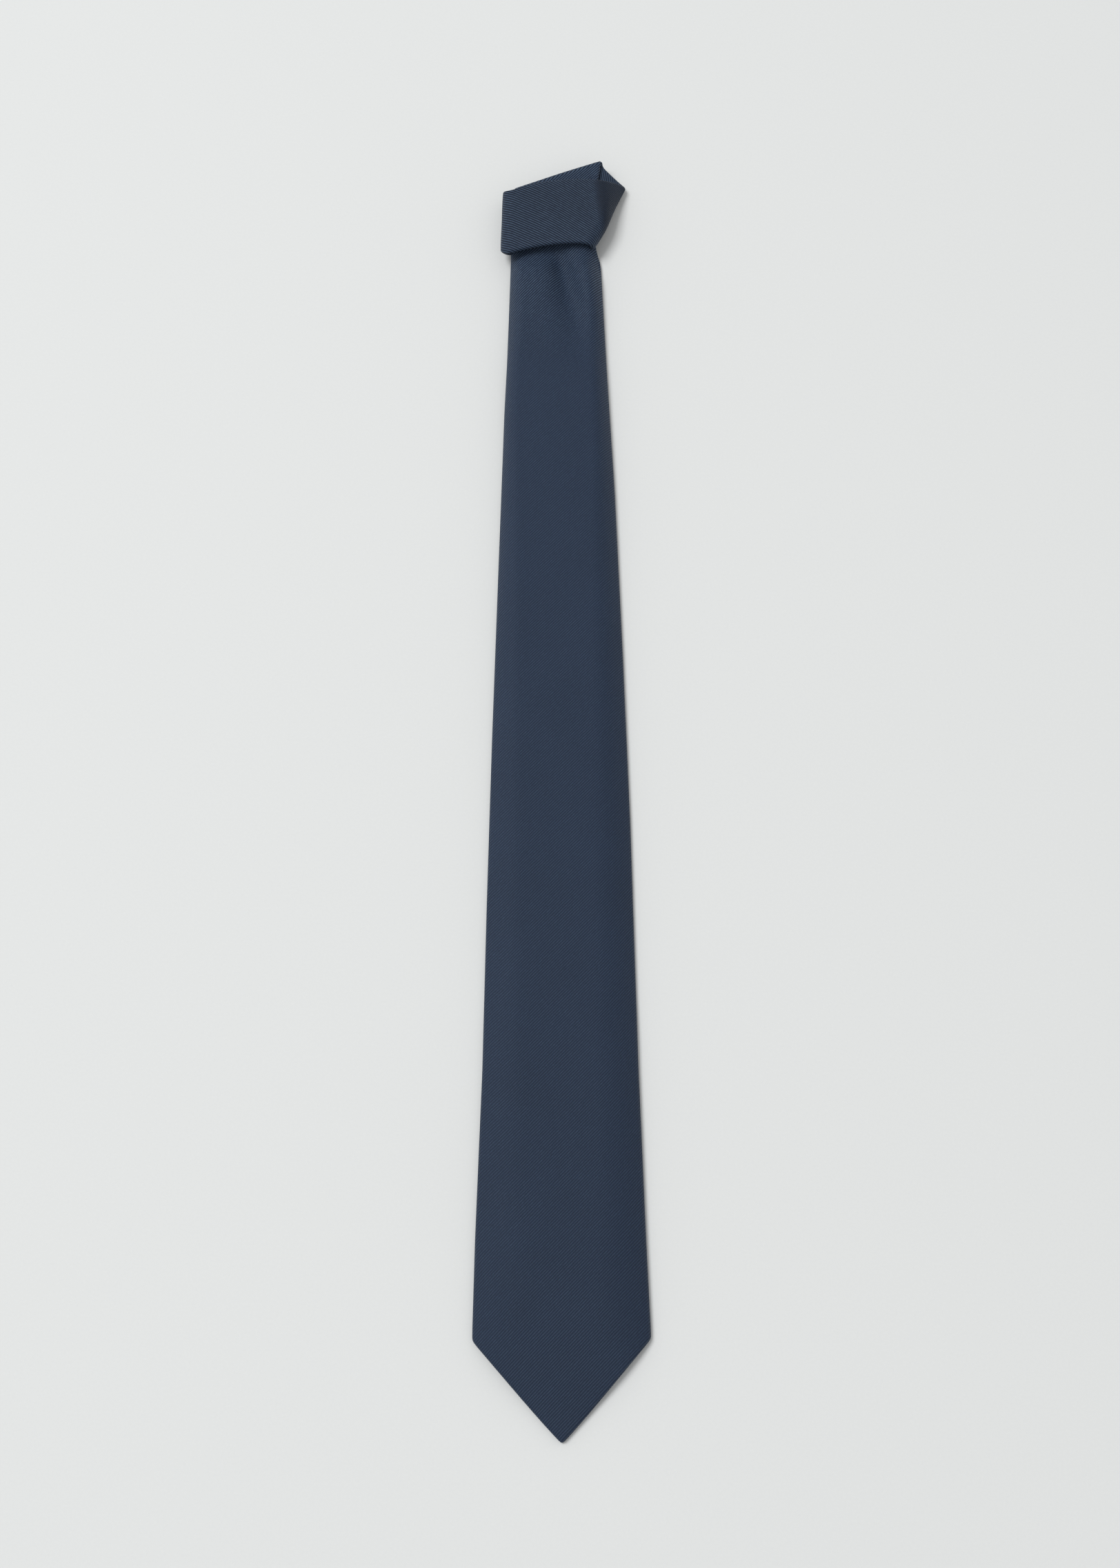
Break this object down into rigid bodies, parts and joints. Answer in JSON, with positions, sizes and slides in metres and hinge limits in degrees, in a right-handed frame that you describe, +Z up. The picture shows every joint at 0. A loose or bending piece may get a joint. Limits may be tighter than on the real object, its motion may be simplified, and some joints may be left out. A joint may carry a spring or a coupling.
{
  "type": "necktie",
  "caption": "Long ribbed-cloth necktie tied in a flattened wrap knot and laid face up, with its neck and tail folded away behind the blade.",
  "frame": {"origin": "middle of the tie's footprint, on the surface it lies on", "axes": "+Z up out of the tie's face, +Y from the blade's point towards the knot, +X to the right of the blade seen point down"},
  "size_m": [0.07, 0.5796, 0.013],
  "materials": {
    "shell_cloth": "fine diagonal rib, soft sheen, dark navy",
    "tipping": "smooth satin lining",
    "interlining": "napped woven wool blend",
    "label": "blank woven satin",
    "thread": "twisted sewing thread"
  },
  "bodies": {
    "tie": {"blade_shell_upper": "shell_cloth", "neck_shell": "shell_cloth", "tail_shell": "shell_cloth", "blade_interlining_upper": "interlining", "tail_interlining": "interlining", "tail_tipping": "tipping", "tail_bar_tack": "thread", "slip_stitch_upper": "thread"},
    "blade_end": {"blade_shell_lower": "shell_cloth", "blade_interlining_lower": "interlining", "blade_tipping": "tipping", "keeper_loop": "shell_cloth", "keeper_stitch_left": "thread", "keeper_stitch_right": "thread", "maker_label": "label", "maker_label_stitch_left": "thread", "maker_label_stitch_right": "thread", "care_label": "label", "blade_bar_tack": "thread", "slip_stitch_lower": "thread", "slack_thread_loop": "thread"}
  },
  "joints": [
    {"name": "blade_fold", "type": "hinge", "parent": "tie", "child": "blade_end", "pos_m": [-0.00152, -0.04374, 0.01], "axis": [-1, -0.0073, 0], "range_deg": [0, 178]}
  ]
}
